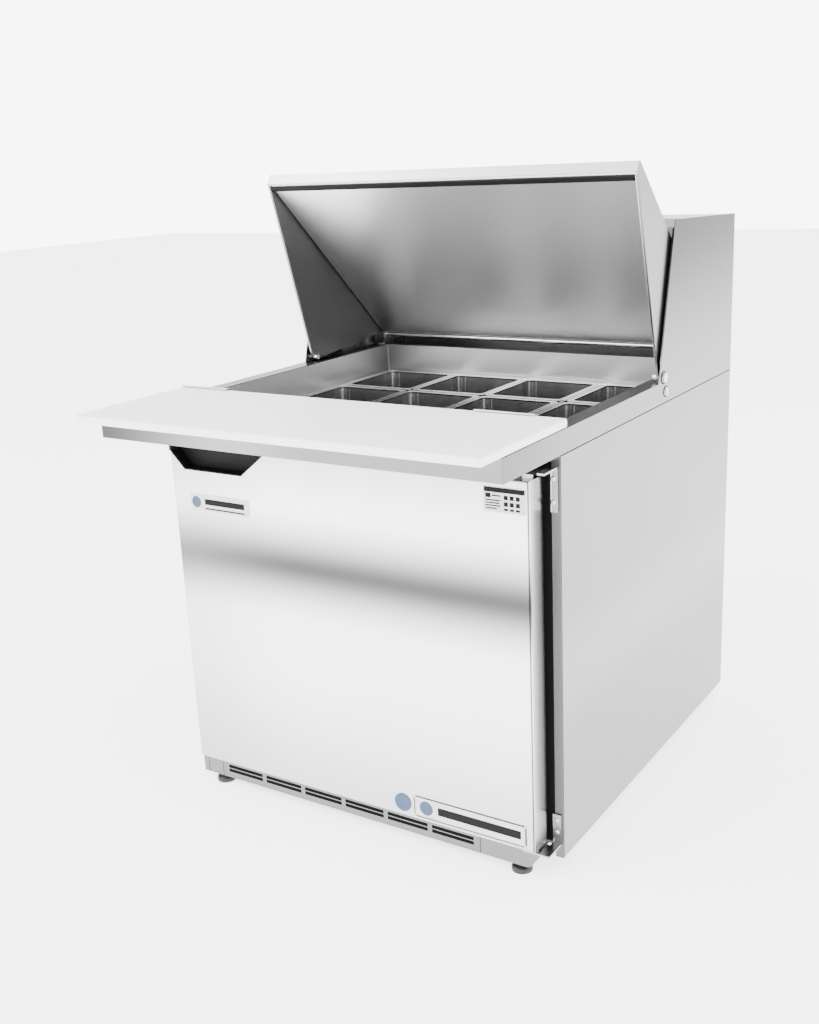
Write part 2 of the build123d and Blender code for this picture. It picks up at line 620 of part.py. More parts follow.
def compressor():
    body = rod_z(-130, 375, 66, 46, 186)
    body = fillet(body.edges().group_by(Axis.Z)[-1], 34)
    plate = block((-212, -48), (305, 445), (42, 46))
    stubs = rod_z(-90, 375, 6, 180, 200)
    box = block((-215, -180), (345, 405), (90, 150))
    mounts = [rod_z(x, y, 9, 30, 42) for x in (-200, -60) for y in (317, 433)]
    return [body + plate + stubs + box] + mounts


def unit_tray():
    tray = block((-290, 290), (266, 476), (28, 30))
    tray += block((-290, 290), (266, 268), (30, 40))
    pan_shell = block((-40, 70), (290, 450), (30.0, 48)) - block((-38.8, 68.8), (291.2, 448.8), (31.2, 49))
    return [tray, pan_shell]


def refrigerant_lines():
    suction = tube([(-90, 375, 200), (-90, 375, 260), (215, 375, 285), (215, 400, 312), (215, 400, 395)], 4, 9)
    liquid = tube([(205, 470, 60), (240, 470, 110), (240, 440, 290), (240, 400, 312), (240, 400, 360)], 2.5, 8)
    drier = rod_z(262, 300, 10, 60, 150)
    return [suction, liquid, drier]


def drain_tube():
    outer = tube([(-200, 400, 370), (-200, 400, 250), (-40, 430, 210), (-20, 430, 60)], 6, 20)
    return outer


def control_box():
    box = block((-285, -225), (290, 410), (60, 180))
    gland = rod_y(-300, 200, 10.8, REAR - 22, REAR + 0)
    nut = rod_y(-300, 200, 15, REAR - 12, REAR - SHEET)
    return [box, gland + nut - rod_y(-300, 200, 5, REAR - 30, REAR + 5)]


def thermostat_knob():
    knob = rod_y(160, EVAP_Z, 17, 232, 247.7) + rod_y(160, EVAP_Z, 4, 247.7, 262)
    pointer = block((158.5, 161.5), (230.5, 233), (EVAP_Z + 2, EVAP_Z + 16))
    return knob + pointer


def bottom_panel():
    return block((-INNER + SHEET, INNER - SHEET), (CABINET_FRONT + SHEET, BAY_Y), (50.8, 52.0))


# ---- write every node -----------------------------------------------------------------------
os.makedirs("parts", exist_ok=True)

write("side_panel_right", side_panel())
write("side_panel_left", mirror(side_panel(), Plane.YZ))
write("wing_right", wing())
write("wing_left", mirror(wing(), Plane.YZ))

for builder in (
    back_panel, bottom_panel, front_frame, interior_liner, cabinet_insulation, base_rails, levelling_feet,
    base_grille, hinge_brackets, worktop_frame, well_liner, pan_divider_bars, board_clips,
    wing_seal_plates, hood_panel, wing_bolts, cutting_board, door_skin, door_liner, door_insulation,
    handle_insert, door_gasket, hinge_bushings, wire_shelves, shelf_supports, evaporator_housing,
    evaporator_coil, evaporator_fan, fan_motors, compressor, condenser_coil, condenser_shroud,
    condenser_fan, unit_tray, refrigerant_lines, drain_tube, control_box, thermostat_knob,
):
    write(builder.__name__, builder())

write("lid_stop_bar", lid_stop())
for builder in (lid_top_skin, lid_sides, lid_inner_liner, lid_insulation, lid_gasket):
    pieces = builder()
    group = pieces if isinstance(pieces, list) else [pieces]
    write(builder.__name__, [swung(piece) for piece in group])

for row in range(PAN_ROWS):
    for column, x in enumerate(PAN_COLUMNS):
        y = PAN_FIRST_ROW + row * (PAN_L + ROW_GAP)
        write(f"pan_{'abc'[row]}{column + 1}", pan(x, y))
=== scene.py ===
import math

import bmesh
import bpy
from mathutils import Matrix, Vector


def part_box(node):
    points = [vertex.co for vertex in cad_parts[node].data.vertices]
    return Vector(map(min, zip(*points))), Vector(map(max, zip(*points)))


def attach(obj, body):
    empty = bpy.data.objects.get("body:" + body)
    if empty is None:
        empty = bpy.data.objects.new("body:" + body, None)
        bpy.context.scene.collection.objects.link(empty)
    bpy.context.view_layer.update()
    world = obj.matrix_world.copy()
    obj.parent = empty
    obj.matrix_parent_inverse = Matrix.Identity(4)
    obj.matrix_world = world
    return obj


bl_info = {
    "name": "Sandwich prep table",
    "version": (1, 0, 0),
    "blender": (4, 5, 0),
    "location": "3D View > Sidebar > Prep Table",
    "description": "Finishes a refrigerated sandwich prep table built round its packed frame",
    "category": "Object",
}

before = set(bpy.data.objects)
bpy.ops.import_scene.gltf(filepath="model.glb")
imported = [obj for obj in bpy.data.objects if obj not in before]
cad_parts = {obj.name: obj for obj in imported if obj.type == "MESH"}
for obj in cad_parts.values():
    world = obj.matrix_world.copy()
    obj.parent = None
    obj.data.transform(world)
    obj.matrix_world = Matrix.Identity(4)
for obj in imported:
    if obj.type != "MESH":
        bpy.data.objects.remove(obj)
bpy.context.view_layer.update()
MM = 0.001

# Heights and places that the finishes and their painted light and shade follow, in metres.
# where the door's dark painted reflection band lies, and how far it reaches
REFLECTION_BAND_HEIGHT, REFLECTION_BAND_REACH = 0.478, 0.105
DOOR_FACE, DOOR_LEFT = -0.3100, -0.3353
DOOR_CORNER = (0.3435, -0.3105)
CHEEK = -0.3555
HOOD_LIP, HOOD_TOP, HOOD_BACK = 0.227, 0.9605, 0.4815
WING_INSIDE = 0.1326  # the square of the distance from the middle
WELL_BACK_EDGE = 0.3695
PAN_RIM = 0.6515
PAN_START, PAN_PITCH = (0.327, 0.182), (0.162, 0.182)
WIDE_BAR, WIDE_BAR_SHIFT = 0.163, 0.006
BRACKET_EDGE = 0.3550
BOLTS = ((0.137, 0.717, 0.0070, 0.0039), (0.1475, 0.692, 0.0062, 0.0038))  # y, z, radius, rise
BRACKET_SCREWS = (0.359, (0.070, 0.090, 0.605, 0.640))
GRILLE_SLOTS = [((-246.5 + 87 * column) * MM, z) for column in range(6) for z in (29.5 * MM, 37.5 * MM)]
GRILLE_SEAMS = (-0.3345, -0.3004, 0.2392)


# ---- shader maths ---------------------------------------------------------------------------
class Value:
    """A shader socket that Python's own operators work on."""

    def __init__(self, shade, socket):
        self.shade, self.socket = shade, socket

    def output(self, name):
        return Value(self.shade, self.socket.node.outputs[name])

    def math(self, operation, *values):
        return self.shade.node("ShaderNodeMath", {"operation": operation}, dict(enumerate(values)))

    def __add__(self, other):
        return self.math("ADD", self, other)

    def __sub__(self, other):
        return self.math("SUBTRACT", self, other)

    def __rsub__(self, other):
        return self.math("SUBTRACT", other, self)

    def __mul__(self, other):
        return self.math("MULTIPLY", self, other)

    def above(self, edge, soft):
        """0 below edge, 1 above it, with a soft step between."""
        return self.shade.node(
            "ShaderNodeMapRange", {"interpolation_type": "SMOOTHSTEP"},
            {"Value": self, "From Min": edge - soft, "From Max": edge + soft},
        )

    def near(self, centre, reach):
        """1 at centre, falling to 0 at reach on each side."""
        away = self.math("ABSOLUTE", self - centre)
        return self.shade.node(
            "ShaderNodeMapRange", {"interpolation_type": "SMOOTHSTEP"},
            {"Value": away, "From Min": reach, "From Max": 0.0},
        )

    __radd__ = __add__
    __rmul__ = __mul__


class Finish:
    """One material: its node tree, and one method that makes any node in it."""

    def __init__(self, name):
        self.material = bpy.data.materials.new(name)
        self.material.use_nodes = True
        self.tree = self.material.node_tree
        self.shader = self.tree.nodes["Principled BSDF"]
        self.place = self.node("ShaderNodeTexCoord", {}, {}).output("Object")
        self.x, self.y, self.z = self.split(self.place)

    def node(self, kind, settings, inputs):
        made = self.tree.nodes.new(kind)
        for key, setting in settings.items():
            setattr(made, key, setting)
        for key, value in inputs.items():
            self.plug(made.inputs[key], value)
        return Value(self, next(s for s in made.outputs if s.enabled))

    def plug(self, socket, value):
        if isinstance(value, Value):
            self.tree.links.new(value.socket, socket)
        else:
            socket.default_value = value

    def split(self, vector):
        parts = self.node("ShaderNodeSeparateXYZ", {}, {"Vector": vector})
        return parts, parts.output("Y"), parts.output("Z")

    def noise(self, scale, stretch=(1, 1, 1), detail=3.0, rough=0.5):
        moved = self.node("ShaderNodeMapping", {}, {"Vector": self.place, "Scale": stretch})
        return self.node("ShaderNodeTexNoise", {},
                         {"Vector": moved, "Scale": scale, "Detail": detail, "Roughness": rough})

    def mix(self, amount, first, second):
        """Blends two colours, which are this node's sockets 6 and 7."""
        return self.node("ShaderNodeMix", {"data_type": "RGBA"}, {"Factor": amount, 6: first, 7: second})

    def bump(self, height, depth, strength=1.0):
        made = self.node("ShaderNodeBump", {}, {"Height": height, "Distance": depth, "Strength": strength})
        self.plug(self.shader.inputs["Normal"], made)

    def set(self, **sockets):
        for key, value in sockets.items():
            self.plug(self.shader.inputs[key.replace("_", " ")], value)
        return self


def grey(level, warm=0.0):
    return (level * (1 + warm), level, level * (1 - warm), 1.0)


# ---- finishes -------------------------------------------------------------------------------
def brushed_steel(name, level=0.62, rough=0.28, grain="X", shade=None, depth=1.0):
    """Stainless sheet with a brushed grain along one axis; shade lays its painted light and shade over it,
    such as painted reflections, highlights and soft dark rolls.
    """
    look = bpy.context.scene.prep_finish
    level, rough = level * look.steel_tone, rough + look.steel_haze
    f = Finish(name)
    stretch = {"X": (1, 130, 130), "Y": (130, 1, 130), "Z": (130, 130, 1)}[grain]
    fine = f.noise(14, stretch, 4.0, 0.65)
    long = f.noise(3, stretch, 2.0, 0.5)
    cloud = f.noise(2.2, (1, 1, 1), 2.0, 0.5)
    streak = fine * 0.65 + long * 0.35
    tone = f.mix(streak, grey(level * 0.93), grey(level * 1.05))
    tone = f.mix(cloud * 0.2, tone, grey(level * 0.86, 0.006))
    if shade:
        tone = shade(f, tone)
    # metallic is turned off where the painted shade is near black, so that it stays black
    f.set(Base_Color=tone, Metallic=tone.above(0.016, 0.008),
          Roughness=streak * 0.10 + cloud * 0.06 + (rough - 0.08))
    f.shader.inputs["Specular IOR Level"].default_value = 0.1
    f.bump(streak, 0.00012 * depth, 0.25)
    return f.material


def door_painted_reflections(f, tone):
    """Painted reflections and painted shade across a flat polished panel: slow light and dark rolls, a dark
    painted reflection band, a darker top, left side and foot, shaded side faces, and painted shadow lines
    at the right corner and along the left edge.
    """
    sway = f.noise(1.1, (1, 1, 1), 1.0) * 0.05 - f.x * 0.02
    height = f.z + sway
    # painted reflection: the dark band across the door
    tone = f.mix(height.near(REFLECTION_BAND_HEIGHT, REFLECTION_BAND_REACH) * 0.95, tone, grey(0.03))
    # painted shade: a darker top, left side and foot of the door
    tone = f.mix(height.above(0.62, 0.05) * 0.55, tone, grey(0.34))
    left = 1 - f.x.above(-0.22, 0.16)
    tone = f.mix(left * 0.4, tone, grey(0.26))
    tone = f.mix((1 - height.above(0.20, 0.13)) * 0.68, tone, grey(0.34))
    # painted shade on the door's side faces
    tone = f.mix(f.y.above(DOOR_FACE + 0.0015, 0.0004) * 0.85, tone, grey(0.5))
    # painted shadow lines at the door's right corner and along its left edge
    corner = f.x.near(DOOR_CORNER[0], 0.0022) * f.y.near(DOOR_CORNER[1], 0.004)
    tone = f.mix(corner, tone, grey(0.004))
    edge = (1 - f.x.above(DOOR_LEFT, 0.0003)) * (1 - f.y.above(DOOR_FACE, 0.0003))
    return f.mix(edge, tone, grey(0.004))


def side_painted_shading(f, tone):
    """Painted light across the middle of the side, and painted shade towards its foot."""
    tone = f.mix(f.z.near(0.33, 0.12) * 0.35, tone, grey(0.40))
    return f.mix((1 - f.z.above(0.16, 0.12)) * 0.25, tone, grey(0.2))


def lid_painted_shading(f, tone):
    """Painted light at the lid's tip, sinking to painted shade at its foot."""
    depth = 1 - f.z.above(0.84, 0.20)
    tone = f.mix(f.x.above(-0.08, 0.12) * (0.05 + depth * 0.25) + depth * 0.12, tone, grey(0.12))
    # painted shade on the inside of the left cheek, and a painted shadow line in the crease where it meets
    # the liner
    cheek = 1 - f.x.above(CHEEK, 0.0004)
    tone = f.mix(cheek, tone, grey(0.20))
    return f.mix(f.x.near(CHEEK + 0.001, 0.0022), tone, grey(0.003))


def wing_painted_shading(f, tone):
    """Painted shade at the head of the wing, on its inner face and at the rail's front corner."""
    tone = f.mix(f.z.above(0.84, 0.13) * 0.96, tone, grey(0.022))
    # painted shade: the wing's inner face, in the gap beside the lid, near black
    tone = f.mix(1 - (f.x * f.x).above(WING_INSIDE, 0.0002), tone, grey(0.004))
    front = (1 - f.y.above(-0.30, 0.16)) * (1 - f.z.above(0.73, 0.01))
    return f.mix(front * 0.62, tone, grey(0.09))


def rail_painted_shading(f, tone):
    """Painted shade at the far left of the rail's face, painted light a third of the way along."""
    tone = f.mix((1 - f.x.above(-0.27, 0.12)) * 0.85, tone, grey(0.03))
    tone = f.mix(f.x.near(-0.10, 0.16) * 0.35, tone, grey(0.4))
    # painted shade: the strip under the hood, near black
    under_hood = f.y.above(WELL_BACK_EDGE, 0.0006) * (1 - f.y.above(HOOD_BACK, 0.0004))
    return f.mix(under_hood * f.z.above(0.66, 0.02), tone, grey(0.003))


def well_painted_shading(f, tone):
    """Painted shade in the two back corners of the well."""
    left = 1 - f.x.above(-0.255, 0.085)
    right = f.x.above(0.22, 0.12)
    return f.mix((left * 0.85 + right * 0.3) * f.y.above(0.30, 0.14), tone, grey(0.09))


def pan_painted_shading(f, tone):
    """Dark grey rims as painted shade, lighter grey insides, and two painted highlight lines in each back
    corner.
    """
    inside = 1 - f.z.above(PAN_RIM, 0.0012)
    tone = f.mix(inside, tone, grey(0.42))
    across = f.x - f.x.above(WIDE_BAR, 0.0005) * WIDE_BAR_SHIFT + PAN_START[0]
    across = across.math("MODULO", across, PAN_PITCH[0])
    along = f.y + PAN_START[1]
    along = along.math("MODULO", along, PAN_PITCH[1])
    # painted highlights: two bright lines in each pan's back corner
    lines = across.near(0.0125, 0.0024) + across.near(0.0255, 0.0024)
    return f.mix(lines * along.above(0.14, 0.01) * inside, tone, grey(0.98))


def hood_painted_shade(f, tone):
    """The hood's inside is painted near black, as painted shade; its outside is bright."""
    inside = f.y.above(HOOD_LIP, 0.001) * (1 - f.y.above(HOOD_BACK, 0.0004))
    return f.mix(inside * (1 - f.z.above(HOOD_TOP, 0.0005)), tone, grey(0.003))


def bracket_painted_shading(f, tone):
    """The upper bracket is painted dark as shade up to its rolled edge, which carries a painted highlight;
    the lower one is plain.
    """
    upper = f.z.above(0.3, 0.05)
    tone = f.mix(upper * (1 - f.x.above(BRACKET_EDGE, 0.0003)), tone, grey(0.004))
    return f.mix(upper * f.x.near(BRACKET_EDGE + 0.0007, 0.0009), tone, grey(0.98))


def moulded(name, colour, rough=0.45, grain=900.0, depth=0.00004, shine=0.5):
    """Moulded plastic or rubber with a fine, even skin."""
    f = Finish(name)
    f.shader.inputs["Specular IOR Level"].default_value = shine
    skin = f.noise(grain, (1, 1, 1), 2.0)
    cloud = f.noise(14, (1, 1, 1), 3.0)
    low = tuple(c * 0.82 for c in colour) + (1.0,)
    high = tuple(min(1.0, c * 1.08) for c in colour) + (1.0,)
    f.set(Base_Color=f.mix(cloud, low, high), Roughness=skin * 0.12 + cloud * 0.1 + (rough - 0.1))
    f.bump(skin, depth, 0.5)
    return f.material


def pitch_black(name):
    return moulded(name, (0.004, 0.004, 0.004), 0.8, shine=0.05)


def cutting_board_white(name):
    """White polyethylene: faintly pebbled, with a few fine knife marks."""
    f = Finish(name)
    pebble = f.noise(1500, (1, 1, 1), 2.0)
    cloud = f.noise(6, (1, 1, 1), 3.0)
    marks = f.noise(60, (1, 14, 1), 5.0, 0.7)
    cuts = marks.math("POWER", marks, 7.0)
    f.set(Base_Color=f.mix(cloud * 0.35, (0.93, 0.93, 0.925, 1), (0.86, 0.865, 0.86, 1)),
          Roughness=pebble * 0.1 + 0.36)
    f.shader.inputs["Subsurface Weight"].default_value = 0.08
    f.shader.inputs["Subsurface Radius"].default_value = (0.006, 0.006, 0.006)
    f.bump(pebble * 0.5 + cuts, 0.00005, 0.5)
    return f.material


def finned_aluminium(name):
    f = Finish(name)
    cloud = f.noise(40, (1, 1, 1), 3.0)
    f.set(Base_Color=f.mix(cloud, grey(0.55), grey(0.75)), Metallic=1.0, Roughness=cloud * 0.2 + 0.3)
    f.bump(f.noise(300), 0.00005, 0.4)
    return f.material


def pebbled_liner(name):
    """Embossed aluminium sheet."""
    f = Finish(name)
    cells = f.node("ShaderNodeTexVoronoi", {}, {"Vector": f.place, "Scale": 160.0}).output("Distance")
    cloud = f.noise(5)
    f.set(Base_Color=f.mix(cloud, grey(0.62), grey(0.74)), Metallic=1.0, Roughness=cloud * 0.1 + 0.36)
    f.bump(cells, 0.0006, 0.35)
    return f.material


def foam_core(name):
    f = Finish(name)
    cell = f.noise(450, (1, 1, 1), 4.0)
    f.set(Base_Color=f.mix(cell, (0.80, 0.70, 0.46, 1), (0.90, 0.83, 0.62, 1)), Roughness=cell * 0.1 + 0.8)
    f.bump(cell, 0.0004, 0.6)
    return f.material


def drawn_copper(name):
    f = Finish(name)
    cloud = f.noise(30, (1, 1, 1), 3.0)
    f.set(Base_Color=f.mix(cloud, (0.55, 0.25, 0.14, 1), (0.80, 0.42, 0.27, 1)), Metallic=1.0,
          Roughness=cloud * 0.15 + 0.22)
    f.bump(cloud, 0.00005, 0.3)
    return f.material


def foot_mixture(name):
    """Zinc stud and nut above a black rubber pad."""
    f = Finish(name)
    cloud = f.noise(60, (1, 1, 1), 3.0)
    metal = f.z.above(9.2 * MM, 0.1 * MM)
    f.set(Base_Color=f.mix(metal, grey(0.004), f.mix(cloud, grey(0.45), grey(0.65))), Metallic=metal,
          Roughness=cloud * 0.15 + 0.4)
    f.bump(cloud, 0.0002, 0.3)
    return f.material


def pan_nodes():
    return sorted(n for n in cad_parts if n.startswith("pan_") and n != "pan_divider_bars")


def dress(material, *nodes):
    """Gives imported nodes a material."""
    for node in nodes:
        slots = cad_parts[node].data.materials
        for i in range(len(slots)):
            slots[i] = material
        if not len(slots):
            slots.append(material)


# ---- operators ------------------------------------------------------------------------------
class StageSettings(bpy.types.PropertyGroup):
    lens: bpy.props.FloatProperty(name="Lens", description="Focal length in millimetres", default=52.886)
    azimuth: bpy.props.FloatProperty(
        name="Azimuth", description="Camera angle to the right of the front",
        default=math.radians(33.348), subtype="ANGLE")
    elevation: bpy.props.FloatProperty(
        name="Elevation", description="Camera angle above level",
        default=math.radians(16.43), subtype="ANGLE")
    roll: bpy.props.FloatProperty(
        name="Roll", description="Turn of the camera about its view",
        default=math.radians(-2.659), subtype="ANGLE")
    place: bpy.props.FloatVectorProperty(
        name="Place", description="Where the camera stands",
        default=(1.0965, -1.7588, 1.0889), subtype="XYZ")
    sky: bpy.props.FloatProperty(
        name="Sky", description="Strength of the even white light", default=4.0, min=0.0)
    glow: bpy.props.FloatProperty(
        name="Floor glow", description="Lifts the floor towards white", default=2.4, min=0.0)
    backdrop: bpy.props.FloatProperty(
        name="Backdrop", description="Brightness of the far background", default=8.0, min=0.0)
    floor: bpy.props.FloatVectorProperty(
        name="Floor", description="Colour of the floor", default=(0.95, 0.95, 0.95), subtype="COLOR")


class FinishSettings(bpy.types.PropertyGroup):
    steel_tone: bpy.props.FloatProperty(
        name="Steel tone", description="Lightens or darkens every steel sheet",
        default=1.0, min=0.2, max=1.2)
    steel_haze: bpy.props.FloatProperty(
        name="Steel haze", description="Added to the roughness of every steel sheet",
        default=0.0, min=-0.1, max=0.4)
    plate_tone: bpy.props.FloatVectorProperty(
        name="Plate colour", description="Colour of the blank labels on the door",
        default=(0.62, 0.62, 0.60), subtype="COLOR")


class DetailSettings(bpy.types.PropertyGroup):
    plate_thickness: bpy.props.FloatProperty(
        name="Plate thickness", description="How far the door's labels stand out",
        default=0.0007, unit="LENGTH")
    screw_radius: bpy.props.FloatProperty(
        name="Screw radius", description="Radius of the small pan-head screws",
        default=0.0042, unit="LENGTH")
    # the width of the rings round each pan's rim, which are painted highlights
    rim_highlight_width: bpy.props.FloatProperty(
        name="Bead width", description="Width of the bright bead round each pan",
        default=0.0016, unit="LENGTH")
    seam_depth: bpy.props.FloatProperty(
        name="Seam depth", description="How far the black seam strips lie below the sheets",
        default=0.0004, unit="LENGTH")


class PREPTABLE_OT_stage(bpy.types.Operator):
    """Sets the camera, the pale floor and the soft light"""

    bl_idname = "preptable.stage"
    bl_label = "Stage"

    def execute(self, context):
        settings = context.scene.prep_stage
        self.camera(context, settings)
        self.floor(settings)
        self.lights(context, settings)
        return {"FINISHED"}

    def camera(self, context, s):
        a, e = s.azimuth, s.elevation
        back = Vector((math.sin(a) * math.cos(e), -math.cos(a) * math.cos(e), math.sin(e)))
        right = Vector((0, 0, 1)).cross(back).normalized()
        turn = Matrix.Rotation(s.roll, 3, back)
        right = turn @ right
        up = back.cross(right)
        data = bpy.data.cameras.new("camera")
        data.sensor_fit, data.sensor_width, data.lens = "HORIZONTAL", 36.0, s.lens
        data.clip_end = 50
        camera = bpy.data.objects.new("camera", data)
        camera.matrix_world = Matrix((right, up, back)).transposed().to_4x4()
        camera.location = s.place
        context.scene.collection.objects.link(camera)
        context.scene.camera = camera

    def floor(self, s):
        shape = bmesh.new()
        bmesh.ops.create_grid(shape, x_segments=1, y_segments=1, size=14)
        floor = piece_from(shape, "floor")
        finish = Finish("floor_paper")
        finish.set(Base_Color=tuple(s.floor) + (1.0,), Roughness=0.6)
        finish.shader.inputs["Specular IOR Level"].default_value = 0.2
        finish.shader.inputs["Emission Color"].default_value = (1, 1, 1, 1)
        finish.shader.inputs["Emission Strength"].default_value = s.glow
        floor.data.materials.append(finish.material)

    def lights(self, context, settings):
        world = bpy.data.worlds.new("studio")
        world.use_nodes = True
        tree = world.node_tree
        coord = tree.nodes.new("ShaderNodeTexCoord")
        parts = tree.nodes.new("ShaderNodeSeparateXYZ")
        ramp = tree.nodes.new("ShaderNodeValToRGB")
        ramp.color_ramp.elements[0].position, ramp.color_ramp.elements[0].color = 0.0, (1, 1, 1, 1)
        ramp.color_ramp.elements[1].position, ramp.color_ramp.elements[1].color = 1.0, (0.55, 0.56, 0.58, 1)
        tree.links.new(coord.outputs["Generated"], parts.inputs["Vector"])
        tree.links.new(parts.outputs["Z"], ramp.inputs["Fac"])
        tree.links.new(ramp.outputs["Color"], tree.nodes["Background"].inputs["Color"])
        path = tree.nodes.new("ShaderNodeLightPath")
        level = tree.nodes.new("ShaderNodeMapRange")
        level.inputs["To Min"].default_value = settings.sky
        level.inputs["To Max"].default_value = settings.backdrop
        tree.links.new(path.outputs["Is Camera Ray"], level.inputs["Value"])
        tree.links.new(level.outputs["Result"], tree.nodes["Background"].inputs["Strength"])
        context.scene.world = world
        for name, place, aim, size, power in (
            ("key_light", (-2.2, -2.6, 3.2), (0, 0, 0.5), 2.4, 220),
            ("side_light", (3.0, -0.6, 2.2), (0, 0, 0.5), 1.8, 60),
            ("back_light", (0.6, 2.6, 3.0), (0, 0, 0.8), 2.0, 60),
        ):
            data = bpy.data.lights.new(name, "AREA")
            data.energy, data.size = power, size
            lamp = bpy.data.objects.new(name, data)
            lamp.location = place
            lamp.rotation_euler = (Vector(aim) - Vector(place)).to_track_quat("-Z", "Y").to_euler()
            context.scene.collection.objects.link(lamp)


def piece_from(shape, name):
    """Turns a bmesh into an object."""
    mesh = bpy.data.meshes.new(name)
    shape.to_mesh(mesh)
    shape.free()
    made = bpy.data.objects.new(name, mesh)
    bpy.context.scene.collection.objects.link(made)
    return made


def add_piece(shape, name, material, body="cabinet"):
    """A finished piece: it rides on a body and takes a material slot."""
    bmesh.ops.recalc_face_normals(shape, faces=shape.faces)
    made = piece_from(shape, name)
    made.data.materials.append(material)
    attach(made, body)
    return made


def bevel(shape, edges, width, segments=2):
    bmesh.ops.bevel(shape, geom=list(edges), offset=width, offset_type="OFFSET", affect="EDGES",
                    segments=segments, profile=0.5, material=-1)


def join(target, part):
    """Adds a finished bmesh to another one."""
    mesh = bpy.data.meshes.new("part")
    part.to_mesh(mesh)
    part.free()
    target.from_mesh(mesh)
    bpy.data.meshes.remove(mesh)


def slab(low, high, corner=0.0, along=1, edge=0.0):
    """A box in metres whose four edges along one axis are rounded, then its rims eased."""
    shape = bmesh.new()
    bmesh.ops.create_cube(shape, size=1.0)
    size = [b - a for a, b in zip(low, high)]
    middle = [(a + b) / 2 for a, b in zip(low, high)]
    bmesh.ops.scale(shape, vec=size, verts=shape.verts)
    bmesh.ops.translate(shape, vec=middle, verts=shape.verts)
    if corner:
        runs = [e for e in shape.edges if abs((e.verts[0].co - e.verts[1].co).normalized()[along]) > 0.9999]
        bevel(shape, runs, corner, 5)
    if edge:
        front = min(v.co[along] for v in shape.verts)
        rim = [e for e in shape.edges if all(abs(v.co[along] - front) < 1e-6 for v in e.verts)]
        bevel(shape, rim, edge, 2)
    return shape


def spun(profile, origin, axis, steps=32):
    """A turned shape: (radius, height) points spun about an axis through origin."""
    shape = bmesh.new()
    points = [shape.verts.new((radius, 0.0, height)) for radius, height in profile]
    edges = [shape.edges.new(pair) for pair in zip(points, points[1:])]
    bmesh.ops.spin(shape, geom=points + edges, cent=(0, 0, 0), axis=(0, 0, 1), angle=math.tau,
                   steps=steps, use_merge=True, use_duplicate=False)
    bmesh.ops.remove_doubles(shape, verts=shape.verts, dist=1e-6)
    turn = Vector((0, 0, 1)).rotation_difference(Vector(axis)).to_matrix()
    bmesh.ops.transform(shape, matrix=Matrix.Translation(origin) @ turn.to_4x4(), verts=shape.verts)
    return shape


def screw(origin, axis, radius, height=0.0022):
    """A domed head with a round recess."""
    dome = [(0.0, height * 0.55), (radius * 0.25, height * 0.55), (radius * 0.25, height),
            (radius * 0.6, height * 0.9), (radius * 0.9, height * 0.55), (radius, height * 0.2),
            (radius, 0.0), (0.0, 0.0)]
    return spun(dome, origin, axis, 20)


class PREPTABLE_OT_steelwork(bpy.types.Operator):
    """Finishes the cabinet, worktop, hood, lid and door sheets"""

    bl_idname = "preptable.steelwork"
    bl_label = "Steelwork"

    def execute(self, context):
        # The levels of these stainless sheets, all one steel, are painted light and shade: bright where a
        # sheet catches the light, dark where it lies in shade or mirrors dark surroundings.
        dress(brushed_steel("door_steel", 0.92, 0.24, "X", door_painted_reflections), "door_skin")
        dress(brushed_steel("side_steel", 0.25, 0.32, "Y", side_painted_shading),
              "side_panel_left", "side_panel_right")
        dress(brushed_steel("back_steel", 0.4, 0.34, "X"), "back_panel")
        dress(brushed_steel("frame_steel", 0.12, 0.30, "Z"), "front_frame")
        dress(brushed_steel("worktop_steel", 0.20, 0.26, "X", rail_painted_shading), "worktop_frame")
        dress(brushed_steel("wing_steel", 0.23, 0.28, "Z", wing_painted_shading), "wing_left", "wing_right")
        dress(brushed_steel("hood_steel", 0.40, 0.30, "X", hood_painted_shade), "hood_panel")
        dress(brushed_steel("lid_outer_steel", 0.90, 0.24, "X"), "lid_top_skin")
        dress(brushed_steel("lid_side_steel", 0.25, 0.26, "Z"), "lid_sides")
        dress(brushed_steel("lid_inner_steel", 0.92, 0.36, "X", lid_painted_shading), "lid_inner_liner")
        dress(brushed_steel("well_steel", 0.88, 0.34, "X", well_painted_shading), "well_liner")
        dress(brushed_steel("trim_steel", 0.5, 0.20, "X"), "board_clips", "lid_stop_bar")
        dress(brushed_steel("divider_steel", 0.06, 0.24, "Y"), "pan_divider_bars")
        dress(brushed_steel("bracket_steel", 0.34, 0.24, "Z", bracket_painted_shading), "hinge_brackets")
        dress(brushed_steel("bolt_steel", 0.70, 0.2, "Z"), "wing_bolts")
        dress(brushed_steel("grille_steel", 0.17, 0.32, "X"), "base_grille")
        dress(brushed_steel("zinc_sheet", 0.45, 0.40, "Y"), "bottom_panel", "base_rails", "unit_tray",
              "shelf_supports", "condenser_shroud")
        dress(brushed_steel("pan_steel", 0.07, 0.20, "Z", pan_painted_shading, 0.6), *pan_nodes())
        return {"FINISHED"}


